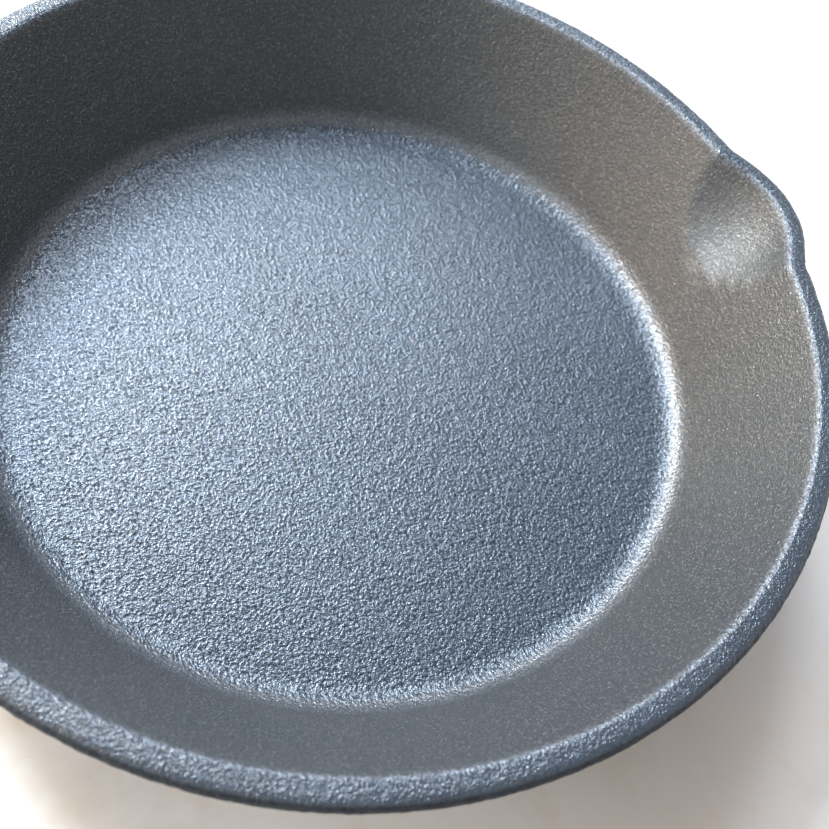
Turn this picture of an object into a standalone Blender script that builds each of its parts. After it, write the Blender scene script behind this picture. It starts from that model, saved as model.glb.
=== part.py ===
"""Cast iron skillet, poured as one casting: bowl, two pour spouts and an integral handle.

Metres, +Z up. The origin is the centre of the flat underside. The handle runs along +X and the
pour spouts face +Y and -Y.
"""

import math

import bmesh
import bpy

MM = 0.001
MERGE_DISTANCE = 0.01 * MM
SHARP_EDGE = math.radians(40.0)

# Bowl
RIM_RADIUS = 80.4 * MM  # outermost radius of the lip
HEIGHT = 31.7 * MM  # underside to the top of the lip
FLOOR_THICKNESS = 4.5 * MM
FLARE = math.radians(28.5)  # lean of the wall from vertical
LIP_WIDTH = 5.2 * MM  # wall thickness, measured level at the lip
FLOOR_FILLET = 6.0 * MM
BASE_FILLET = 9.0 * MM
LIP_INNER_ROUND = 0.8 * MM
LIP_OUTER_ROUND = 1.7 * MM
FLOOR_ARC_SEGMENTS = 6
BASE_ARC_SEGMENTS = 5
INNER_LIP_SEGMENTS = 3
OUTER_LIP_SEGMENTS = 6
WALL_SEGMENTS = 9
COLUMNS = 112  # sections round the bowl
CROWDING = 0.30  # how far the sections crowd towards the spouts

# Pour spouts, each a half-oval scoop that is widest at the lip
SPOUT_REACH = 4.6 * MM  # how far the lip bulges outwards
SPOUT_HALF_WIDTH = 14.6 * MM
SPOUT_DEPTH = 14.8 * MM  # from the top of the lip to the foot of the scoop
SPOUT_EDGE = 1.2  # higher values fade the edge of the scoop more softly
SPOUT_DIP = 0.6 * MM

# Handle, measured outwards from the lip
HANDLE_LENGTH = 98.0 * MM
HANDLE_ROOT_DEPTH = 11.0 * MM  # how far the solid starts inside the lip radius
ROOT_HALF_WIDTH = 19.0 * MM
WAIST_HALF_WIDTH = 9.5 * MM
PALM_HALF_WIDTH = 13.0 * MM
WAIST_AT = 30.0 * MM
ROOT_CURVE = 1.4  # higher values narrow the root sooner
ROOT_HALF_THICKNESS = 6.0 * MM
PALM_HALF_THICKNESS = 3.8 * MM
ROOT_CENTRE_HEIGHT = 22.5 * MM
TIP_CENTRE_HEIGHT = 31.0 * MM
EDGE_ROUND = 3.0 * MM
TIP_THINNING = 0.55  # share of the thickness lost to the rounding at the very tip
HANDLE_SQUARENESS = 3.2  # 2 is an oval section, higher values fill out its corners
SHAFT_SECTIONS = 17
TIP_SECTIONS = 9
SECTION_POINTS = 24
END_INSET = 0.4  # share of a step by which the first or last section stays off a rounded end

# Grip recesses, one on top of the handle and one below it
RECESS_FROM = 20.0 * MM
RECESS_TO = 62.0 * MM
RECESS_BORDER = 3.4 * MM
RECESS_DEPTH = 1.3 * MM
RECESS_CUTTER = 4.0 * MM  # half thickness of the cutting body
RECESS_SQUARENESS = 5.0
RECESS_SECTIONS = 13

# Teardrop hanging hole
HOLE_CENTRE = 83.0 * MM  # centre of its round end
HOLE_RADIUS = 6.0 * MM
HOLE_POINT = 66.0 * MM  # centre of its narrow end
HOLE_POINT_RADIUS = 2.2 * MM
HOLE_ARC_SEGMENTS = 12
HOLE_POINT_SEGMENTS = 4


def clear_scene():
    for obj in list(bpy.data.objects):
        bpy.data.objects.remove(obj, do_unlink=True)


def make_collection(name):
    collection = bpy.data.collections.new(name)
    bpy.context.scene.collection.children.link(collection)
    return collection


def cast_iron():
    """Seasoned cast iron: near black, slightly blue, with a soft satin shine."""
    material = bpy.data.materials.new("seasoned_cast_iron")
    material.use_nodes = True
    surface = material.node_tree.nodes["Principled BSDF"]
    surface.inputs["Base Color"].default_value = (0.030, 0.033, 0.038, 1.0)
    surface.inputs["Roughness"].default_value = 0.46
    surface.inputs["Metallic"].default_value = 0.35
    return material


def add_object(name, mesh, collection):
    obj = bpy.data.objects.new(name, mesh)
    collection.objects.link(obj)
    return obj


def as_cutter(obj):
    obj.hide_render = True
    obj.display_type = "WIRE"


def smoothstep(value):
    value = min(max(value, 0.0), 1.0)
    return value * value * (3.0 - 2.0 * value)


def rounded_corner(before, corner, after, radius, segments):
    """Points of the arc that rounds a corner between two straight lines."""
    to_before = math.atan2(before[1] - corner[1], before[0] - corner[0])
    to_after = math.atan2(after[1] - corner[1], after[0] - corner[0])
    opening = (to_after - to_before + math.pi) % (2.0 * math.pi) - math.pi
    half = abs(opening) / 2.0
    middle = to_before + opening / 2.0
    reach = radius / math.sin(half)
    centre = (corner[0] + reach * math.cos(middle), corner[1] + reach * math.sin(middle))
    sweep = math.pi - 2.0 * half
    turn = math.copysign(1.0, opening)
    start = middle + math.pi - turn * sweep / 2.0
    points = []
    for step in range(segments + 1):
        angle = start + turn * sweep * step / segments
        points.append((centre[0] + radius * math.cos(angle), centre[1] + radius * math.sin(angle)))
    if math.dist(points[0], before) > math.dist(points[-1], before):
        points.reverse()
    return points


def wall_points(start, end):
    """The points between the two ends of a straight stretch of wall."""
    points = []
    for step in range(1, WALL_SEGMENTS):
        share = step / WALL_SEGMENTS
        points.append(tuple(a + (b - a) * share for a, b in zip(start, end)))
    return points


def bowl_profile():
    """Radius and height from the middle of the floor, over the lip and down to the base."""
    lean = math.tan(FLARE)
    # The outer round pulls the lip in from the corner of the wall line and the top.
    corner_reach = LIP_OUTER_ROUND * math.tan((math.pi / 2.0 + FLARE) / 2.0)
    outer_top = RIM_RADIUS + corner_reach - LIP_OUTER_ROUND
    inner_top = outer_top - LIP_WIDTH
    floor_corner = (inner_top - (HEIGHT - FLOOR_THICKNESS) * lean, FLOOR_THICKNESS)
    inner_corner = (inner_top, HEIGHT)
    outer_corner = (outer_top, HEIGHT)
    base_corner = (outer_top - HEIGHT * lean, 0.0)
    floor_middle = (0.0, FLOOR_THICKNESS)
    base_middle = (0.0, 0.0)

    floor_arc = rounded_corner(
        floor_middle, floor_corner, inner_corner, FLOOR_FILLET, FLOOR_ARC_SEGMENTS
    )
    inner_arc = rounded_corner(
        floor_corner, inner_corner, outer_corner, LIP_INNER_ROUND, INNER_LIP_SEGMENTS
    )
    outer_arc = rounded_corner(
        inner_corner, outer_corner, base_corner, LIP_OUTER_ROUND, OUTER_LIP_SEGMENTS
    )
    base_arc = rounded_corner(
        outer_corner, base_corner, base_middle, BASE_FILLET, BASE_ARC_SEGMENTS
    )
    return (
        [floor_middle]
        + floor_arc
        + wall_points(floor_arc[-1], inner_arc[0])
        + inner_arc
        + outer_arc
        + wall_points(outer_arc[-1], base_arc[0])
        + base_arc
        + [base_middle]
    )


def turn_profile(profile, collection):
    """The bowl turned from its profile, as a plain mesh."""
    mesh = bpy.data.meshes.new("bowl_profile")
    edges = [(i, i + 1) for i in range(len(profile) - 1)]
    mesh.from_pydata([(radius, 0.0, height) for radius, height in profile], edges, [])
    source = add_object("bowl_profile", mesh, collection)
    screw = source.modifiers.new("turn", "SCREW")
    screw.steps = COLUMNS
    screw.render_steps = COLUMNS
    screw.use_merge_vertices = True
    screw.merge_threshold = MERGE_DISTANCE
    depsgraph = bpy.context.evaluated_depsgraph_get()
    turned = bpy.data.meshes.new_from_object(source.evaluated_get(depsgraph))
    bpy.data.objects.remove(source, do_unlink=True)
    return turned


def spout_weight(angle, height):
    """1 where a spout's axis meets the lip, falling to 0 at the oval edge of its scoop."""
    across = RIM_RADIUS * abs(math.cos(angle)) / SPOUT_HALF_WIDTH
    down = (HEIGHT - height) / SPOUT_DEPTH
    return max(0.0, 1.0 - across * across - down * down) ** SPOUT_EDGE


def form_spouts(mesh):
    """Crowd the sections towards the spouts, then push the wall and the lip outwards there."""
    for vertex in mesh.vertices:
        radius = math.hypot(vertex.co.x, vertex.co.y)
        if radius < MM:
            continue
        angle = math.atan2(vertex.co.y, vertex.co.x)
        angle += CROWDING * math.sin(2.0 * angle)
        weight = spout_weight(angle, vertex.co.z)
        radius += SPOUT_REACH * weight
        vertex.co.x = radius * math.cos(angle)
        vertex.co.y = radius * math.sin(angle)
        vertex.co.z -= SPOUT_DIP * weight


def handle_half_width(along):
    if along < WAIST_AT:
        root = smoothstep((WAIST_AT - along) / WAIST_AT) ** ROOT_CURVE
        return WAIST_HALF_WIDTH + (ROOT_HALF_WIDTH - WAIST_HALF_WIDTH) * root
    palm = smoothstep((along - WAIST_AT) / (HANDLE_LENGTH - PALM_HALF_WIDTH - WAIST_AT))
    return WAIST_HALF_WIDTH + (PALM_HALF_WIDTH - WAIST_HALF_WIDTH) * palm


def end_round(along, radius):
    """1 along the handle, falling along a quarter circle over the last stretch."""
    past = max(0.0, along - (HANDLE_LENGTH - radius)) / radius
    return math.sqrt(max(0.0, 1.0 - past * past))


def handle_half_thickness(along):
    thinning = smoothstep(along / WAIST_AT)
    return ROOT_HALF_THICKNESS + (PALM_HALF_THICKNESS - ROOT_HALF_THICKNESS) * thinning


def handle_centre(along):
    share = max(0.0, along) / HANDLE_LENGTH
    return ROOT_CENTRE_HEIGHT + (TIP_CENTRE_HEIGHT - ROOT_CENTRE_HEIGHT) * math.sin(
        share * math.pi / 2.0
    )


def section(along, centre, half_width, half_thickness, squareness):
    """One cross-section of a long body: an oval whose corners are filled out."""
    points = []
    for step in range(SECTION_POINTS):
        angle = 2.0 * math.pi * (step + 0.5) / SECTION_POINTS
        across = math.copysign(abs(math.cos(angle)) ** (2.0 / squareness), math.cos(angle))
        up = math.copysign(abs(math.sin(angle)) ** (2.0 / squareness), math.sin(angle))
        points.append((RIM_RADIUS + along, half_width * across, centre + half_thickness * up))
    return points


def loft(name, sections, collection):
    """A closed body through unlike cross-sections, capped at both ends."""
    body = bmesh.new()
    rings = [[body.verts.new(point) for point in ring] for ring in sections]
    for ring, following in zip(rings, rings[1:]):
        for i in range(SECTION_POINTS):
            j = (i + 1) % SECTION_POINTS
            body.faces.new((ring[i], ring[j], following[j], following[i]))
    body.faces.new(list(reversed(rings[0])))
    body.faces.new(rings[-1])
    bmesh.ops.recalc_face_normals(body, faces=body.faces)
    mesh = bpy.data.meshes.new(name)
    body.to_mesh(mesh)
    body.free()
    return add_object(name, mesh, collection)


def handle_stations():
    """Distances along the handle, closer together where its end curves in."""
    straight = HANDLE_LENGTH - PALM_HALF_WIDTH
    shaft = straight + HANDLE_ROOT_DEPTH
    stations = [shaft * i / SHAFT_SECTIONS - HANDLE_ROOT_DEPTH for i in range(SHAFT_SECTIONS)]
    for i in range(TIP_SECTIONS):
        quarter_turn = math.pi / 2.0 * (i + END_INSET) / TIP_SECTIONS
        stations.append(straight + PALM_HALF_WIDTH * math.sin(quarter_turn))
    return stations


def make_handle(collection):
    sections = []
    for along in handle_stations():
        half_width = handle_half_width(along) * end_round(along, PALM_HALF_WIDTH)
        thinning = TIP_THINNING * (1.0 - end_round(along, EDGE_ROUND))
        half_thickness = handle_half_thickness(along) * (1.0 - thinning)
        centre = handle_centre(along)
        sections.append(section(along, centre, half_width, half_thickness, HANDLE_SQUARENESS))
    return loft("handle_blank", sections, collection)


def make_recess(name, side, collection):
    """A shallow pocket that follows the handle's outline, inside a raised border."""
    sections = []
    middle = (RECESS_FROM + RECESS_TO) / 2.0
    half_length = (RECESS_TO - RECESS_FROM) / 2.0
    for i in range(RECESS_SECTIONS):
        half_turn = math.pi * (i + END_INSET) / (RECESS_SECTIONS - 1.0 + 2.0 * END_INSET)
        share = -math.cos(half_turn)
        along = middle + half_length * share
        end_rounding = math.sqrt(1.0 - abs(share) ** RECESS_SQUARENESS)
        half_width = (handle_half_width(along) - RECESS_BORDER) * end_rounding
        surface = handle_centre(along) + side * handle_half_thickness(along)
        centre = surface + side * (RECESS_CUTTER - RECESS_DEPTH)
        sections.append(section(along, centre, half_width, RECESS_CUTTER, RECESS_SQUARENESS))
    return loft(name, sections, collection)


def arc(centre, radius, start, end, segments):
    """Points along an arc in plan, with its centre on the handle's axis."""
    points = []
    for step in range(segments + 1):
        angle = start + (end - start) * step / segments
        points.append((centre + radius * math.cos(angle), radius * math.sin(angle)))
    return points


def teardrop_outline():
    """Two arcs, one wide and one narrow, joined by their shared tangents."""
    tangent = math.acos((HOLE_POINT_RADIUS - HOLE_RADIUS) / (HOLE_CENTRE - HOLE_POINT))
    wide = arc(HOLE_CENTRE, HOLE_RADIUS, -tangent, tangent, HOLE_ARC_SEGMENTS)
    narrow = arc(
        HOLE_POINT, HOLE_POINT_RADIUS, tangent, 2.0 * math.pi - tangent, HOLE_POINT_SEGMENTS
    )
    return wide + narrow


def make_hole_cutter(collection):
    """The teardrop outline pulled upwards through the handle."""
    body = bmesh.new()
    corners = [body.verts.new((RIM_RADIUS + x, y, 0.0)) for x, y in teardrop_outline()]
    face = body.faces.new(corners)
    pulled = bmesh.ops.extrude_face_region(body, geom=[face])
    raised = [item for item in pulled["geom"] if isinstance(item, bmesh.types.BMVert)]
    bmesh.ops.translate(body, verts=raised, vec=(0.0, 0.0, 2.0 * HEIGHT))
    bmesh.ops.recalc_face_normals(body, faces=body.faces)
    mesh = bpy.data.meshes.new("hanging_hole")
    body.to_mesh(mesh)
    body.free()
    return add_object("hanging_hole", mesh, collection)


def make_cavity(collection):
    """A cone halfway through the wall, which trims the handle's root clear of the bowl."""
    lean = math.tan(FLARE)
    middle_of_wall = RIM_RADIUS + LIP_OUTER_ROUND / 2.0 - LIP_WIDTH / 2.0
    bpy.ops.mesh.primitive_cone_add(
        vertices=COLUMNS,
        radius1=middle_of_wall - HEIGHT * lean,
        radius2=middle_of_wall + HEIGHT * lean,
        depth=2.0 * HEIGHT,
        location=(0.0, 0.0, HEIGHT),
    )
    cone = bpy.context.object
    cone.name = "bowl_cavity"
    for holder in list(cone.users_collection):
        holder.objects.unlink(cone)
    collection.objects.link(cone)
    return cone


def add_boolean(obj, name, operation, other):
    modifier = obj.modifiers.new(name, "BOOLEAN")
    modifier.operation = operation
    modifier.solver = "EXACT"
    modifier.object = other


def build():
    clear_scene()
    parts = make_collection("cast_iron_skillet")
    cutters = make_collection("cutters")

    mesh = turn_profile(bowl_profile(), cutters)
    form_spouts(mesh)
    mesh.name = "skillet_casting"
    casting = add_object("skillet_casting", mesh, parts)
    mesh.materials.append(cast_iron())

    handle = make_handle(cutters)
    cavity = make_cavity(cutters)
    add_boolean(handle, "clear_bowl", "DIFFERENCE", cavity)

    add_boolean(casting, "handle", "UNION", handle)
    shapes = [
        make_recess("top_recess", 1.0, cutters),
        make_recess("under_recess", -1.0, cutters),
        make_hole_cutter(cutters),
    ]
    for shape in shapes:
        add_boolean(casting, shape.name, "DIFFERENCE", shape)
    for cutter in [handle, cavity, *shapes]:
        as_cutter(cutter)

    mesh.shade_smooth()
    mesh.set_sharp_from_angle(angle=SHARP_EDGE)


build()
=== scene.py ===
"""Looks of the cast iron skillet: one seasoned casting with a fine cast grain, on a pale table.

Metres, +Z up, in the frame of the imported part: the handle runs along +X and the pour spouts face
+Y and -Y.
"""

import math

import bmesh
import bpy
import numpy as np
from mathutils import Matrix, Vector


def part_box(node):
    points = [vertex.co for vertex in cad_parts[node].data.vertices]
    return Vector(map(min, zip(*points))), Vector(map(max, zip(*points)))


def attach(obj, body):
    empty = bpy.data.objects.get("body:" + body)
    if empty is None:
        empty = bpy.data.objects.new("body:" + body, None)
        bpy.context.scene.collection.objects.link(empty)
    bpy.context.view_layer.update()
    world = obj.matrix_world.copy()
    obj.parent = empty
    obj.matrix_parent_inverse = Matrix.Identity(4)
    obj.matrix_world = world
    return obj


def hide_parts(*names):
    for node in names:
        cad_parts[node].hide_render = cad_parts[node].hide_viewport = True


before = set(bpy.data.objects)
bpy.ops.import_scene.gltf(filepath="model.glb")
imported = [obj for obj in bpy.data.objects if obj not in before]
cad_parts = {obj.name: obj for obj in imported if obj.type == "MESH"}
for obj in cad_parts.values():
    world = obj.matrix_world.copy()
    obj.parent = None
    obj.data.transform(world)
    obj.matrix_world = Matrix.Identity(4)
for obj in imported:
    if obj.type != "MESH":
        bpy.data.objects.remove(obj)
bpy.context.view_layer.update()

MM = 0.001
CASTING = "skillet_casting"
LOW_CORNER = Vector(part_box(CASTING)[0])

# Shape of the bowl, as the frame has it
RIM_RADIUS = -LOW_CORNER.x
LIP_TOP = 31.7 * MM
FLOOR_TOP = 4.5 * MM
SPOUT_DIP = 0.6 * MM
SPOUT_LIMIT = RIM_RADIUS + 5.0 * MM  # the bowl's own surface ends here, and the handle goes on
SECTION_GAP = math.radians(0.3)  # two sections of the bowl are further apart than this

# Fine surface
WELD = 0.001 * MM
VOXEL = 0.32 * MM
SMOOTHING = 0.5  # share of the way to the neighbours' average, at each step
SMOOTHING_STEPS = 8
WALL_SMOOTHING_STEPS = 8

# Heights between which each region of the bowl fades in
UNDERSIDE_FADE = (0.5 * FLOOR_TOP, 0.7 * FLOOR_TOP)
FLOOR_FADE = (FLOOR_TOP + 3.6 * MM, FLOOR_TOP + 1.2 * MM)
FILLET_FADE = (FLOOR_TOP + 0.3 * MM, FLOOR_TOP + 1.1 * MM)
LIP_FADE = (LIP_TOP - 2.2 * MM, LIP_TOP - 0.9 * MM)
EDGE_FADE = (LIP_TOP - 1.7 * MM, LIP_TOP - 1.1 * MM)

# Cast grain: three sizes of bump, and how high each stands in each region
GRAIN_PITCHES = (0.64 * MM, 1.1 * MM, 3.2 * MM)
GRAIN_SEEDS = (11, 23, 37)
GRAIN_HEIGHTS = {
    "floor": (0.055 * MM, 0.020 * MM, 0.008 * MM),
    "wall": (0.016 * MM, 0.006 * MM, 0.008 * MM),
    "lip": (0.036 * MM, 0.012 * MM, 0.012 * MM),
    "outside": (0.055 * MM, 0.040 * MM, 0.025 * MM),
}
FILLET_WEAR = 0.6  # share of the floor's grain that is worn away in the fillet
BUMP_HEIGHT = 0.26 * MM  # the finest grain, which only bends the light

# Patches and their places
# Painted shade: the wall's colour is darkened round this place to match its brightness from the camera.
# Whether the real seasoning is darker there isn't known.
WALL_SHADE_SPOT = (-74.0 * MM, -22.0 * MM, 15.0 * MM)
TABLE_SHADOW_SPOT = (-82.0 * MM, -26.0 * MM, 0.0)  # middle of a painted shadow on the table, beside the pan
TABLE_GAP = 0.2 * MM  # clears the cast grain of the underside, which stands 0.12 mm proud at most
TABLE_SIZE = 6.0

# The camera looks steeply down into the bowl, from between one spout and the side opposite the handle.
VIEW_TARGET = Vector((-20.4, -15.0, 4.5)) * MM
VIEW_AZIMUTH = 138.2
VIEW_ELEVATION = 58.9
VIEW_DISTANCE = 173.2 * MM
VIEW_ROLL = math.radians(22.93)
LENS = 41.66
SENSOR = 36.0
SHIFT = (-0.0672, 0.0360)
NEAREST_SEEN = 5.0 * MM
FOCUS_POINT = Vector((-28.0, 30.0, 10.0)) * MM
APERTURE = 28.0


def lattice_hash(x, y, z, seed):
    """A repeatable number from 0 to 1 for each whole-numbered lattice point."""
    value = x * 374761393 + y * 668265263 + z * 2147483647 + seed * 144665
    value = (value ^ (value >> 13)) * 1274126177
    value = value ^ (value >> 16)
    return (value & 0xFFFFFF).astype(np.float64) / 0xFFFFFF


def value_noise(points, pitch, seed):
    """Smooth noise from -1 to 1 whose bumps are about one pitch across."""
    scaled = points / pitch
    cell = np.floor(scaled).astype(np.int64)
    inside = scaled - cell
    inside = inside * inside * (3.0 - 2.0 * inside)
    total = np.zeros(len(points))
    for corner in range(8):
        step = np.array([corner & 1, corner >> 1 & 1, corner >> 2 & 1])
        share = np.prod(np.where(step == 1, inside, 1.0 - inside), axis=1)
        total += share * lattice_hash(*(cell + step).T, seed)
    return total * 2.0 - 1.0


def smoothstep(low, high, value):
    share = np.clip((value - low) / (high - low), 0.0, 1.0)
    return share * share * (3.0 - 2.0 * share)


def regions(points, normals):
    """How much each point belongs to each region of the bowl, from 0 to 1."""
    radius = np.maximum(np.hypot(points[:, 0], points[:, 1]), MM)
    height = points[:, 2]
    inward = -(normals[:, 0] * points[:, 0] + normals[:, 1] * points[:, 1]) / radius
    in_bowl = smoothstep(SPOUT_LIMIT + MM, SPOUT_LIMIT, radius)
    floor = smoothstep(*FLOOR_FADE, height)
    floor = floor * smoothstep(0.2, 0.4, normals[:, 2]) * smoothstep(*UNDERSIDE_FADE, height)
    floor = floor * smoothstep(-0.3, -0.1, inward)
    fillet = floor * smoothstep(*FILLET_FADE, height)
    lip = in_bowl * smoothstep(*LIP_FADE, height)
    lip = lip * smoothstep(-0.75, -0.35, inward) * smoothstep(0.70, 0.40, inward)
    wall = in_bowl * smoothstep(0.25, 0.45, inward) * (1.0 - floor) * (1.0 - lip)
    edge = in_bowl * smoothstep(*EDGE_FADE, height)
    edge = edge * smoothstep(0.12, 0.35, inward) * smoothstep(0.92, 0.78, inward)
    outside = np.clip(1.0 - floor - wall - lip, 0.0, 1.0)
    return {
        "floor": floor,
        "fillet": fillet,
        "wall": wall,
        "lip": lip,
        "edge": edge,
        "outside": outside,
    }


def section_angles(points):
    """Where the flat facets of the bowl meet, as angles round it."""
    radius = np.hypot(points[:, 0], points[:, 1])
    on_lip = (points[:, 2] > LIP_TOP - 2.0 * SPOUT_DIP) & (radius < SPOUT_LIMIT + MM)
    angles = np.sort(np.arctan2(points[on_lip, 1], points[on_lip, 0]))
    return angles[np.diff(angles, append=angles[0] + math.tau) > SECTION_GAP]


def round_out(points, sections):
    """Moves the points of each flat facet of the bowl out to the round."""
    turn = np.arctan2(points[:, 1], points[:, 0])
    following = np.searchsorted(sections, turn)
    before = sections[following - 1]
    after = sections[following % len(sections)]
    half = np.mod(after - before, math.tau) / 2.0
    off_middle = np.mod(turn - before, math.tau) - half
    radius = np.hypot(points[:, 0], points[:, 1])
    share = smoothstep(SPOUT_LIMIT + MM, SPOUT_LIMIT, radius)
    points[:, :2] *= (1.0 + share * (np.cos(off_middle) / np.cos(half) - 1.0))[:, None]


def relax(points, edges, share, steps):
    """Evens the surface out, at each point as far as its share says."""
    first, second = edges.T
    size = len(points)
    neighbours = np.bincount(first, minlength=size) + np.bincount(second, minlength=size)
    for _ in range(steps):
        for axis in range(3):
            line = points[:, axis]
            total = np.bincount(first, line[second], size) + np.bincount(second, line[first], size)
            line += SMOOTHING * share * (total / neighbours - line)


def read_points(mesh):
    values = np.empty(len(mesh.vertices) * 3)
    mesh.vertices.foreach_get("co", values)
    return values.reshape(-1, 3)


def read_normals(mesh):
    values = np.empty(len(mesh.vertices) * 3)
    mesh.vertex_normals.foreach_get("vector", values)
    return values.reshape(-1, 3)


def read_edges(mesh):
    values = np.empty(len(mesh.edges) * 2, dtype=np.int32)
    mesh.edges.foreach_get("vertices", values)
    return values.reshape(-1, 2)


def write_points(mesh, points):
    mesh.vertices.foreach_set("co", points.ravel())
    mesh.update()


def apply_modifiers(skin):
    """Replaces the skin's mesh by what its modifiers make of it."""
    dense = bpy.data.meshes.new_from_object(skin.evaluated_get(bpy.context.evaluated_depsgraph_get()))
    skin.modifiers.clear()
    skin.data = dense


def fine_mesh(source):
    """The casting as an even, dense skin without facets."""
    shell = bmesh.new()
    shell.from_mesh(source.data)
    bmesh.ops.remove_doubles(shell, verts=shell.verts, dist=WELD)
    mesh = bpy.data.meshes.new("casting_skin")
    shell.to_mesh(mesh)
    shell.free()
    skin = bpy.data.objects.new("casting_skin", mesh)
    bpy.context.scene.collection.objects.link(skin)
    remesh = skin.modifiers.new("even", "REMESH")
    remesh.mode = "VOXEL"
    remesh.voxel_size = VOXEL * 1.0
    apply_modifiers(skin)
    points = read_points(skin.data)
    round_out(points, section_angles(read_points(source.data)))
    write_points(skin.data, points)
    smooth = skin.modifiers.new("soften", "SMOOTH")
    smooth.factor = SMOOTHING
    smooth.iterations = SMOOTHING_STEPS
    apply_modifiers(skin)
    points = read_points(skin.data)
    wall = regions(points, read_normals(skin.data))["wall"]
    relax(points, read_edges(skin.data), wall, WALL_SMOOTHING_STEPS)
    write_points(skin.data, points)
    return skin


def add_grain(skin):
    """Raises the cast grain on the surface and records the regions for the material."""
    mesh = skin.data
    points = read_points(mesh)
    normals = read_normals(mesh)
    shares = regions(points, normals)
    grains = [value_noise(points, *grain) for grain in zip(GRAIN_PITCHES, GRAIN_SEEDS)]
    raise_by = np.zeros(len(points))
    for name, heights in GRAIN_HEIGHTS.items():
        grown = sum(height * grain for height, grain in zip(heights, grains))
        if name == "floor":
            grown = grown * (1.0 - FILLET_WEAR * shares["fillet"])
        raise_by += shares[name] * grown
    points += normals * raise_by[:, None]
    for name, values in shares.items():
        attribute = mesh.attributes.new(name + "_share", "FLOAT", "POINT")
        attribute.data.foreach_set("value", values)
    write_points(mesh, points)
    mesh.shade_smooth()


class Nodes:
    """Short names for building one material's node tree."""

    def __init__(self, name):
        self.material = bpy.data.materials.new(name)
        self.material.use_nodes = True
        self.tree = self.material.node_tree
        self.surface = self.tree.nodes["Principled BSDF"]
        self.position = self.add("ShaderNodeTexCoord").outputs["Object"]

    def add(self, kind, **settings):
        node = self.tree.nodes.new(kind)
        for key, value in settings.items():
            setattr(node, key, value)
        return node

    def join(self, source, target):
        if isinstance(source, (int, float, tuple)):
            target.default_value = source
        else:
            self.tree.links.new(source, target)

    def math(self, operation, a, b=0.0):
        node = self.add("ShaderNodeMath", operation=operation)
        self.join(a, node.inputs[0])
        self.join(b, node.inputs[1])
        return node.outputs[0]

    def attribute(self, name):
        return self.add("ShaderNodeAttribute", attribute_name=name).outputs["Fac"]

    def noise(self, pitch, detail=2.0, roughness=0.5, distortion=0.0):
        node = self.add("ShaderNodeTexNoise")
        self.join(self.position, node.inputs["Vector"])
        node.inputs["Scale"].default_value = 1.0 / pitch
        node.inputs["Detail"].default_value = detail
        node.inputs["Roughness"].default_value = roughness
        node.inputs["Distortion"].default_value = distortion
        return node.outputs["Fac"]

    def dots(self, pitch, size):
        """1 inside small scattered dots, 0 between them."""
        node = self.add("ShaderNodeTexVoronoi")
        self.join(self.position, node.inputs["Vector"])
        node.inputs["Scale"].default_value = 1.0 / pitch
        return self.ramp(node.outputs["Distance"], size / pitch, 0.5 * size / pitch)

    def distance(self, point):
        node = self.add("ShaderNodeVectorMath", operation="DISTANCE")
        self.join(self.position, node.inputs[0])
        self.join(point, node.inputs[1])
        return node.outputs["Value"]

    def ramp(self, value, low, high, to_low=0.0, to_high=1.0):
        node = self.add("ShaderNodeMapRange")
        self.join(value, node.inputs["Value"])
        self.join(low, node.inputs["From Min"])
        self.join(high, node.inputs["From Max"])
        self.join(to_low, node.inputs["To Min"])
        self.join(to_high, node.inputs["To Max"])
        return node.outputs["Result"]

    def mix(self, share, a, b):
        node = self.add("ShaderNodeMix", data_type="RGBA")
        self.join(share, node.inputs["Factor"])
        self.join(a, node.inputs["A"])
        self.join(b, node.inputs["B"])
        return node.outputs["Result"]


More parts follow.
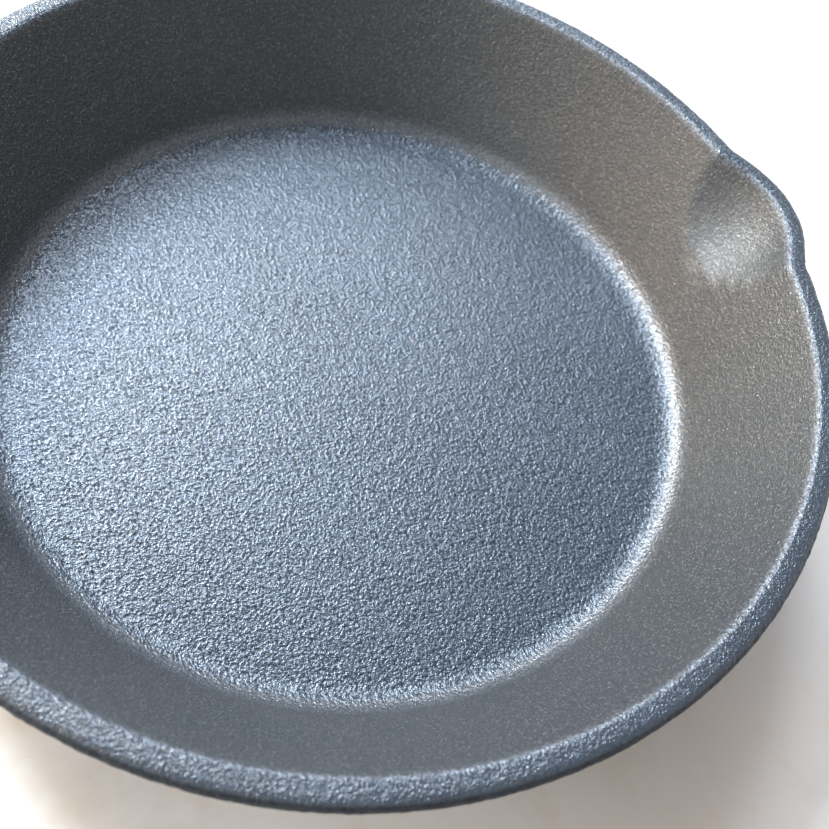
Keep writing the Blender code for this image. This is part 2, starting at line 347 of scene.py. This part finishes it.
def seasoned_iron():
    """Seasoned black iron: grainy on the floor, finer on the wall; the floor's bluish tint is partly a
    painted reflection of cool light.
    """
    n = Nodes("seasoned_cast_iron")
    wall = n.attribute("wall_share")
    lip = n.attribute("lip_share")
    fillet = n.attribute("fillet_share")
    edge = n.attribute("edge_share")
    outside = n.attribute("outside_share")
    smooth = n.math("ADD", wall, n.math("MULTIPLY", fillet, 0.8))
    grain = n.noise(0.56 * MM, detail=2.0, roughness=0.55)
    fine = n.noise(0.30 * MM, detail=1.0)
    cloud = n.noise(28.0 * MM, detail=3.0)
    # Painted shade in the grain's hollows: the troughs get a darker colour and less specular below.
    painted_trough_shade = n.ramp(grain, 0.54, 0.36, 0.0, n.ramp(n.math("MAXIMUM", smooth, lip), 0.0, 1.0, 0.85, 0.2))
    wide_flecks = n.math("MULTIPLY", n.dots(0.60 * MM, 0.10 * MM), 0.6)
    close_flecks = n.math("MULTIPLY", n.dots(0.34 * MM, 0.09 * MM), fillet)
    fleck = n.math("MAXIMUM", wide_flecks, close_flecks)
    sand = n.ramp(n.noise(0.42 * MM, detail=1.0), 0.60, 0.72)
    sparkle = n.math("MULTIPLY", n.math("MAXIMUM", fleck, n.math("MULTIPLY", sand, 0.18)), smooth)

    # The floor's iron is dark blue-black and the wall's grey; the blue is partly a painted reflection
    # of cool light.
    iron = n.mix(n.ramp(cloud, 0.35, 0.65), (0.034, 0.050, 0.072, 1.0), (0.044, 0.063, 0.088, 1.0))
    grey = n.mix(n.ramp(cloud, 0.35, 0.65), (0.038, 0.042, 0.046, 1.0), (0.050, 0.053, 0.056, 1.0))
    # Painted shade: the wall's colour darkens round the spot given above.
    painted_wall_shade = n.math("MULTIPLY", wall, n.ramp(n.distance(WALL_SHADE_SPOT), 62.0 * MM, 24.0 * MM, 0.0, 0.42))
    grey = n.mix(painted_wall_shade, grey, (0.016, 0.021, 0.027, 1.0))
    colour = n.mix(smooth, iron, grey)
    # Painted highlight: the fillet is lighter in colour, to brighten the ring of light along it.
    colour = n.mix(n.math("MULTIPLY", fillet, 0.6), colour, (0.085, 0.096, 0.112, 1.0))
    colour = n.mix(n.math("MULTIPLY", lip, 0.25), colour, (0.022, 0.025, 0.029, 1.0))
    colour = n.mix(n.math("MULTIPLY", outside, 0.8), colour, (0.018, 0.021, 0.025, 1.0))
    # Painted shade: the grain's troughs are darkened.
    colour = n.mix(painted_trough_shade, colour, (0.006, 0.008, 0.011, 1.0))
    rust = n.math("MULTIPLY", n.dots(13.0 * MM, 0.55 * MM), 0.35)
    colour = n.mix(rust, colour, (0.23, 0.11, 0.07, 1.0))
    colour = n.mix(sparkle, colour, (0.62, 0.59, 0.55, 1.0))
    # Lighter worn iron along the lip's inner edge, which is also a painted highlight there.
    wear_and_painted_light = n.math("MULTIPLY", edge, n.ramp(grain, 0.42, 0.60, 0.0, 0.38))
    colour = n.mix(wear_and_painted_light, colour, (0.22, 0.25, 0.30, 1.0))
    n.join(colour, n.surface.inputs["Base Color"])
    satin = n.math("MAXIMUM", n.math("MULTIPLY", wall, 0.18), n.math("MULTIPLY", outside, 0.22))
    satin = n.math("MULTIPLY", satin, n.ramp(sparkle, 0.0, 1.0, 1.0, 0.0))
    n.join(n.math("ADD", n.ramp(grain, 0.3, 0.7, 0.31, 0.24), satin), n.surface.inputs["Roughness"])
    dull = n.math("MAXIMUM", n.math("MULTIPLY", painted_trough_shade, 0.75), n.math("MULTIPLY", outside, 0.85))
    n.join(n.math("SUBTRACT", 1.0, dull), n.surface.inputs["Specular IOR Level"])
    metal = n.ramp(n.math("MAXIMUM", sparkle, n.math("MULTIPLY", wear_and_painted_light, 0.4)), 0.0, 1.0, 0.25, 0.9)
    n.join(n.math("MULTIPLY", metal, n.math("SUBTRACT", 1.0, outside)), n.surface.inputs["Metallic"])

    fine_share = n.ramp(n.math("MAXIMUM", wall, n.math("MULTIPLY", lip, 0.6)), 0.0, 1.0, 0.3, 1.2)
    height = n.math("ADD", grain, n.math("MULTIPLY", fine, fine_share))
    bump = n.add("ShaderNodeBump")
    n.join(height, bump.inputs["Height"])
    calm = n.math("MAXIMUM", n.math("MULTIPLY", wall, 0.5), n.math("MULTIPLY", fillet, 0.2))
    n.join(n.math("SUBTRACT", 1.0, calm), bump.inputs["Strength"])
    bump.inputs["Distance"].default_value = BUMP_HEIGHT
    n.join(bump.outputs["Normal"], n.surface.inputs["Normal"])
    return n.material


def table_top():
    """Plain pale table with soft warm mottling, a painted shadow beside the pan, and a faint glow that
    stands in for bounce light.
    """
    n = Nodes("pale_table")
    stain = n.noise(20.0 * MM, detail=4.0, roughness=0.6)
    speck = n.noise(1.2 * MM, detail=2.0)
    mottle = n.noise(7.0 * MM, detail=5.0, roughness=0.65)
    pale = n.mix(n.ramp(stain, 0.4, 0.65), (0.83, 0.81, 0.79, 1.0), (0.75, 0.70, 0.655, 1.0))
    pale = n.mix(n.ramp(mottle, 0.52, 0.70, 0.0, 0.35), pale, (0.70, 0.59, 0.48, 1.0))
    # Painted shadow: the table darkens round the spot given above, with a ragged edge.
    spread = n.math("ADD", n.distance(TABLE_SHADOW_SPOT), n.math("MULTIPLY", stain, 45.0 * MM))
    wear_and_painted_light = n.ramp(spread, 85.0 * MM, 30.0 * MM, 0.0, 0.6)
    pale = n.mix(wear_and_painted_light, pale, (0.33, 0.265, 0.215, 1.0))
    pale = n.mix(n.ramp(speck, 0.66, 0.80, 0.0, 0.3), pale, (0.55, 0.53, 0.51, 1.0))
    n.join(pale, n.surface.inputs["Base Color"])
    # Painted light: the table glows faintly in its own colour, standing in for bounce light that lifts
    # its shade.
    n.join(pale, n.surface.inputs["Emission Color"])
    n.surface.inputs["Emission Strength"].default_value = 0.07
    n.surface.inputs["Roughness"].default_value = 0.6
    return n.material


def add_table():
    bpy.ops.mesh.primitive_plane_add(size=TABLE_SIZE, location=(0.0, 0.0, LOW_CORNER.z - TABLE_GAP))
    table = bpy.context.object
    table.name = "table"
    table.data.materials.append(table_top())


def direction(azimuth, elevation):
    """Unit vector at an azimuth from +X and an elevation, in degrees."""
    turn, lift = math.radians(azimuth), math.radians(elevation)
    return Vector((math.cos(lift) * math.cos(turn), math.cos(lift) * math.sin(turn), math.sin(lift)))


# Fitted to the brightness of the photo as seen from the camera, and three were then changed.
# Where the real room has its lights and what they are isn't known.
def add_light(name, azimuth, elevation, distance, width, height, power, colour):
    light = bpy.data.lights.new(name, "AREA")
    light.shape = "RECTANGLE"
    light.size = width
    light.size_y = height
    light.energy = power
    light.color = colour
    lamp = bpy.data.objects.new(name, light)
    towards = direction(azimuth, elevation)
    lamp.location = towards * distance
    lamp.rotation_euler = towards.to_track_quat("Z", "Y").to_euler()
    bpy.context.scene.collection.objects.link(lamp)


def add_lights():
    add_light("window", 24.0, 46.0, 0.80, 0.20, 0.20, 12.2, (0.72, 0.85, 1.0))
    add_light("warm_pane", 28.0, 32.0, 0.80, 0.20, 0.20, 4.1, (1.0, 0.76, 0.34))
    add_light("low_sky", -10.0, 34.0, 0.80, 0.20, 0.20, 3.3, (0.78, 0.86, 1.0))
    add_light("high_sky", -20.0, 52.0, 0.80, 0.20, 0.20, 3.3, (0.79, 0.89, 1.0))
    add_light("low_sun", 76.0, 15.0, 1.0, 0.60, 0.16, 4.2, (1.0, 0.52, 0.22))
    add_light("side_wall", 100.0, 30.0, 1.0, 0.60, 0.40, 3.7, (0.80, 0.95, 0.96))
    world = bpy.data.worlds.new("room_light")
    world.use_nodes = True
    background = world.node_tree.nodes["Background"]
    background.inputs["Color"].default_value = (0.94, 0.95, 1.0, 1.0)
    background.inputs["Strength"].default_value = 0.57
    bpy.context.scene.world = world


def add_camera():
    data = bpy.data.cameras.new("camera")
    data.sensor_width = SENSOR
    data.lens = LENS
    data.shift_x, data.shift_y = SHIFT
    data.clip_start = NEAREST_SEEN
    focus = bpy.data.objects.new("focus", None)
    focus.location = FOCUS_POINT
    bpy.context.scene.collection.objects.link(focus)
    data.dof.use_dof = True
    data.dof.focus_object = focus
    data.dof.aperture_fstop = APERTURE
    camera = bpy.data.objects.new("camera", data)
    towards = direction(VIEW_AZIMUTH, VIEW_ELEVATION)
    camera.location = VIEW_TARGET + towards * VIEW_DISTANCE
    look = (-towards).to_track_quat("-Z", "Y")
    camera.rotation_euler = (look.to_matrix() @ Matrix.Rotation(VIEW_ROLL, 3, "Z")).to_euler()
    bpy.context.scene.collection.objects.link(camera)
    bpy.context.scene.camera = camera


def build_casting():
    skin = fine_mesh(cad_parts[CASTING])
    add_grain(skin)
    skin.name = "skillet"
    skin.data.materials.clear()
    skin.data.materials.append(seasoned_iron())
    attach(skin, "root")
    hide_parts(CASTING)


build_casting()
add_table()
add_lights()
add_camera()
bpy.context.scene.view_settings.view_transform = "Standard"
